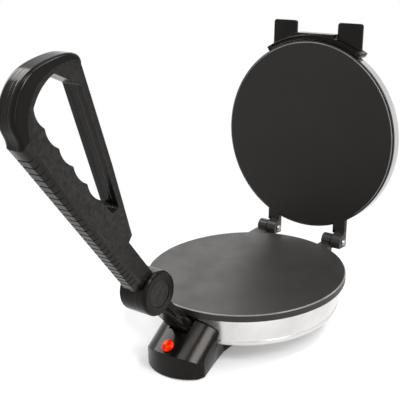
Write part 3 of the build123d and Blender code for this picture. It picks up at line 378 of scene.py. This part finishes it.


# Lit and shaded copies of one coating: the lower plate's colours are lighter, as painted light on its upward
# face, and the lid plate's darker, as painted shade on its upright face; the fifth value of each is the
# colour of its painted rim highlight.
COATING_LIT = nonstick_coating(
    "nonstick_lower_lit", (0.024, 0.0222, 0.021), (0.033, 0.0305, 0.029), (0.38, 0.48), (0.36, 0.35, 0.34),
    PLATE_CENTRE, (0, 0, 1), PLATE_RADIUS, (0, -1, 0), -75.0 * MM,
)
COATING_LID_SHADED = nonstick_coating(
    "nonstick_upper_shaded", (0.0065, 0.0058, 0.0052), (0.0095, 0.0086, 0.0078), (0.42, 0.52), (0.20, 0.195, 0.19),
    LID_CENTRE, LID_FACE, LID_PLATE_RADIUS, (0, 0, 1), 95.0 * MM,
)
GLOSS = gloss_plastic("gloss_black", (0.15, 0.21))
HANDLE = handle_plastic("handle_black")
GRAINED = textured_plastic("grained_black", (0.005, 0.0046, 0.0043), (0.02, 0.0185, 0.0175))
GRIP = textured_plastic("grip_black", (0.009, 0.0083, 0.0078), (0.014, 0.013, 0.012), 300, 0.08, (0.14, 0.22))
CHROME = polished_steel("polished_steel", (0.16, 0.26), (0.72, 0.708, 0.70), 0.88)
CHROME_LID = polished_steel("polished_steel_lid", (0.14, 0.24), (0.60, 0.59, 0.585), 0.90, True)
STEEL = brushed_steel("brushed_steel")
PIN_STEEL = brushed_steel("pin_heads", (0.36, 0.355, 0.35), (0.25, 0.4))
ELEMENT = brushed_steel("element_sheath", (0.26, 0.25, 0.235), (0.4, 0.55))
LENS_RED = red_lens_plastic("red_lens")
RUBBER = soft_rubber("rubber")

FINISH = {
    "lower_plate": COATING_LIT,
    "upper_plate": COATING_LID_SHADED,
    "lower_shell": CHROME,
    "upper_shell": CHROME_LID,
    "lid_nut": CHROME,
    "hinge_pins": PIN_STEEL,
    "base_housing": GLOSS,
    "press_link": GLOSS,
    "lid_bracket": GLOSS,
    "handle_left": HANDLE,
    "handle_right": HANDLE,
    "palm_grip": GRIP,
    "pivot_caps": GRAINED,
    "base_cover": GRAINED,
    "lamp_body": GRAINED,
    "terminal_block": GRAINED,
    "indicator_lens": LENS_RED,
    "rubber_feet": RUBBER,
    "cord_gland": RUBBER,
    "lower_element": ELEMENT,
    "upper_element": ELEMENT,
    "thermostat": ELEMENT,
}
for name, obj in nodes.items():
    obj.data.materials.clear()
    obj.data.materials.append(FINISH.get(name, STEEL))


# ---- pieces that stand for CAD nodes ----
# The palm grip, in millimetres: its distance along the handle, and its seat and crest there.
PALM_STATIONS = ((22.2, 3.2, 13.2), (75.0, 5.2, 12.0), (140.0, 5.9, 10.8), (213.4, 0.2, 9.35))
PALM_FOOT = 2.0  # reach below the seat, inside the halves
PALM_INSET = 0.03  # within the halves' flat sides
PALM_CHAMFER = 3.9
PALM_CHAMFER_SHARE = 0.80  # of the height from seat to crest
PALM_BULGE = 0.3
PALM_BLEND = 30.0  # length over which the chamfer blends into the band's shoulder
PALM_END_FALL = 3.6
PALM_END_BULGE = 0.65
PALM_BORDER = 0.7  # plain edge beside the ribs
RIB_COUNT = 26
RIB_START = 31.0
RIB_PITCH = 5.7
RIB_GROWTH = 0.045  # the pitch widens towards the loop
RIB_STEP = 0.2  # from the plain edge in to the ribs
GROOVE_HALF = 0.75
GROOVE_DEPTH = 1.0
GROOVE_SIDE_SHARE = 0.6  # of the depth, on the chamfers
ROUNDED_PALM = (0.3 * MM, 35)  # bevel width, and the least angle in degrees that it rounds
ROUNDED_MOULDING = (0.7 * MM, 40)
SAME_POINT = 0.002 * MM
FLAT_ANGLE = math.radians(0.5)


def handle_point(across, along, out):
    """A point in the handle's own frame, in millimetres, as metres at rest."""
    return BARREL_CENTRE + MM * (Vector((across, 0, 0)) + along * HANDLE_ALONG + out * HANDLE_OUT)


def palm_line(along):
    """Seat and crest of the palm grip at a distance from the barrel."""
    for (start, seat, crest), (end, next_seat, next_crest) in zip(PALM_STATIONS, PALM_STATIONS[1:]):
        if along <= end:
            share = (along - start) / (end - start)
            return seat + share * (next_seat - seat), crest + share * (next_crest - crest)
    return PALM_STATIONS[-1][1:]


def palm_section(along, sunk):
    """A ring of points across the palm grip: flat crest, chamfered corners, sunk in the grooves."""
    seat, crest = palm_line(along)
    half = GRIP_HALF_WIDTH / MM - PALM_INSET
    # the chamfer narrows to the band's shoulder at the top end
    share = min(1, (PALM_STATIONS[-1][0] - along) / PALM_BLEND)
    fall = PALM_END_FALL + share * (PALM_CHAMFER_SHARE * (crest - seat) - PALM_END_FALL)
    bulge = PALM_END_BULGE + share * (PALM_BULGE - PALM_END_BULGE)
    low = (half - PALM_BORDER, crest - fall + PALM_BORDER * fall / PALM_CHAMFER)
    top = (half - PALM_CHAMFER, crest)
    in_side = GROOVE_SIDE_SHARE * sunk
    side = [
        (half, seat - PALM_FOOT),
        (half, crest - fall),
        low,
        (low[0] - RIB_STEP - in_side, low[1]),
        ((low[0] + top[0]) / 2 + bulge - in_side, (low[1] + top[1]) / 2 + bulge - in_side),
        (top[0], top[1] - sunk),
    ]
    ring = side + [(-across, out) for across, out in reversed(side)]
    return [handle_point(across, along, out) for across, out in ring]


def palm_rows():
    """Distances along the grip and how deep each row is sunk."""
    rows = [(PALM_STATIONS[0][0], 0)]
    for number in range(RIB_COUNT):
        middle = RIB_START + RIB_PITCH * number + RIB_GROWTH * number**2
        rows += [
            (middle - GROOVE_HALF, 0),
            (middle - 0.5 * GROOVE_HALF, GROOVE_DEPTH),
            (middle + 0.5 * GROOVE_HALF, GROOVE_DEPTH),
            (middle + GROOVE_HALF, 0),
        ]
    return rows + [(PALM_STATIONS[-1][0], 0)]


def mesh_object(name, build):
    """An object in the scene with the built mesh."""
    mesh = bpy.data.meshes.new(name)
    build.to_mesh(mesh)
    build.free()
    made = bpy.data.objects.new(name, mesh)
    bpy.context.scene.collection.objects.link(made)
    return made


def ribbed_palm():
    """The palm grip: a crowned strip with chamfered corners and a rib for every few millimetres."""
    build = bmesh.new()
    rings = [[build.verts.new(point) for point in palm_section(*row)] for row in palm_rows()]
    for ring, following in zip(rings, rings[1:]):
        for here in range(len(ring)):
            there = (here + 1) % len(ring)
            build.faces.new((ring[here], ring[there], following[there], following[here]))
    build.faces.new(rings[0][::-1])
    build.faces.new(rings[-1])
    bmesh.ops.recalc_face_normals(build, faces=build.faces)
    palm = mesh_object("ribbed_palm", build)
    palm.data.materials.append(GRIP)
    round_edges(palm, *ROUNDED_PALM)
    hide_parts("palm_grip")
    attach(palm, "handle")


def round_edges(piece, width, angle):
    """Bevels a piece's sharp edges and smooths the rest."""
    bevel = piece.modifiers.new("rounded", "BEVEL")
    bevel.width = width
    bevel.segments = 2
    bevel.limit_method = "ANGLE"
    bevel.angle_limit = math.radians(angle)
    bevel.harden_normals = True
    piece.data.shade_smooth()


def softened(name, body):
    """A copy of a hard-edged moulding with its corners rounded, which stands for the node."""
    build = bmesh.new()
    build.from_mesh(nodes[name].data)
    bmesh.ops.remove_doubles(build, verts=build.verts, dist=SAME_POINT)
    bmesh.ops.dissolve_limit(build, angle_limit=FLAT_ANGLE, verts=build.verts, edges=build.edges)
    piece = mesh_object(name + "_softened", build)
    piece.data.materials.append(FINISH[name])
    round_edges(piece, *ROUNDED_MOULDING)
    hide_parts(name)
    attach(piece, body)


ribbed_palm()
softened("lid_bracket", "lid")
softened("press_link", "link")


# ---- studio ----
WORLD_LEVEL = 0.20  # what lights the object
WORLD_SEEN = 1.0  # what the camera and reflections see
FLOOR_LIFT = 0.24  # brings the lit floor up to white
FLOOR_SPREAD = (0.14, 0.34)  # the shadow fades into white between these distances
FLOOR_HALF = 6.0
LAMPS_AIM = Vector((0, 0, 0.1))


def seen_directly(tree):
    """One for camera, glossy and transmission rays."""
    path = tree.nodes.new("ShaderNodeLightPath")
    total = path.outputs["Is Camera Ray"]
    for kind in ("Is Glossy Ray", "Is Transmission Ray"):
        total = math_node(tree, "MAXIMUM", total, path.outputs[kind])
    return total


def white_world():
    """White to the eye and in reflections, and a plain level of light on the object."""
    world = bpy.data.worlds.new("studio")
    bpy.context.scene.world = world
    world.use_nodes = True
    tree = world.node_tree
    strength = tree.nodes.new("ShaderNodeMapRange")
    strength.inputs["To Min"].default_value = WORLD_LEVEL
    strength.inputs["To Max"].default_value = WORLD_SEEN
    tree.links.new(seen_directly(tree), strength.inputs["Value"])
    background = tree.nodes["Background"]
    background.inputs["Color"].default_value = (1, 1, 1, 1)
    tree.links.new(strength.outputs["Result"], background.inputs["Strength"])


def pale_floor():
    """A pale floor, white to the eye and in reflections but for the object's shadow near it."""
    build = bmesh.new()
    bmesh.ops.create_grid(build, x_segments=1, y_segments=1, size=FLOOR_HALF)
    floor = mesh_object("floor", build)
    material, tree, shader = new_material("pale_floor")
    shader.inputs["Base Color"].default_value = (0.86, 0.86, 0.86, 1)
    shader.inputs["Roughness"].default_value = 0.9
    shader.inputs["Specular IOR Level"].default_value = 0.1
    lift = node(tree, "ShaderNodeEmission", Strength=FLOOR_LIFT)
    lifted = tree.nodes.new("ShaderNodeAddShader")
    tree.links.new(shader.outputs[0], lifted.inputs[0])
    tree.links.new(lift.outputs[0], lifted.inputs[1])
    white = node(tree, "ShaderNodeEmission", Strength=1.0)
    place = tree.nodes.new("ShaderNodeNewGeometry")
    away = node(tree, "ShaderNodeVectorMath", operation="LENGTH")
    tree.links.new(place.outputs["Position"], away.inputs[0])
    spread = tree.nodes.new("ShaderNodeMapRange")
    spread.interpolation_type = "SMOOTHSTEP"
    spread.inputs["From Min"].default_value = FLOOR_SPREAD[0]
    spread.inputs["From Max"].default_value = FLOOR_SPREAD[1]
    tree.links.new(away.outputs["Value"], spread.inputs["Value"])
    seen = mix_shader(tree, spread.outputs["Result"], lifted.outputs[0], white.outputs[0])
    final = mix_shader(tree, seen_directly(tree), shader.outputs[0], seen)
    tree.links.new(final, tree.nodes["Material Output"].inputs["Surface"])
    floor.data.materials.append(material)


def soft_lamp(name, place, size, radiance):
    """A softbox that faces the object, with the brightness it shows in a reflection."""
    light = bpy.data.lights.new(name, "AREA")
    light.shape = "RECTANGLE"
    light.size, light.size_y = size
    light.energy = radiance * math.pi * size[0] * size[1]
    lamp = bpy.data.objects.new(name, light)
    lamp.location = place
    lamp.rotation_euler = (LAMPS_AIM - Vector(place)).to_track_quat("-Z", "Y").to_euler()
    bpy.context.scene.collection.objects.link(lamp)


white_world()
pale_floor()
soft_lamp("right", (0.93, -0.25, 0.97), (0.34, 0.50), 16)
soft_lamp("left", (-1.10, -0.16, 1.00), (0.60, 0.95), 6.5)
soft_lamp("behind", (-0.95, 1.45, 0.92), (1.2, 0.8), 1.7)
soft_lamp("above", (0.60, 0.32, 1.27), (0.60, 0.30), 11)
soft_lamp("front", (0.26, -0.50, 1.20), (0.50, 0.20), 6)
soft_lamp("low_right", (1.38, -0.62, 0.42), (0.16, 0.75), 4.5)

camera_data = bpy.data.cameras.new("camera")
camera_data.sensor_width = SENSOR
camera_data.lens = LENS
camera = bpy.data.objects.new("camera", camera_data)
turn = Matrix((CAMERA_RIGHT, CAMERA_UP, CAMERA_BACK)).transposed()
camera.matrix_world = Matrix.Translation(CAMERA_PLACE) @ turn.to_4x4()
bpy.context.scene.collection.objects.link(camera)
bpy.context.scene.camera = camera
bpy.context.scene.view_settings.view_transform = "Standard"
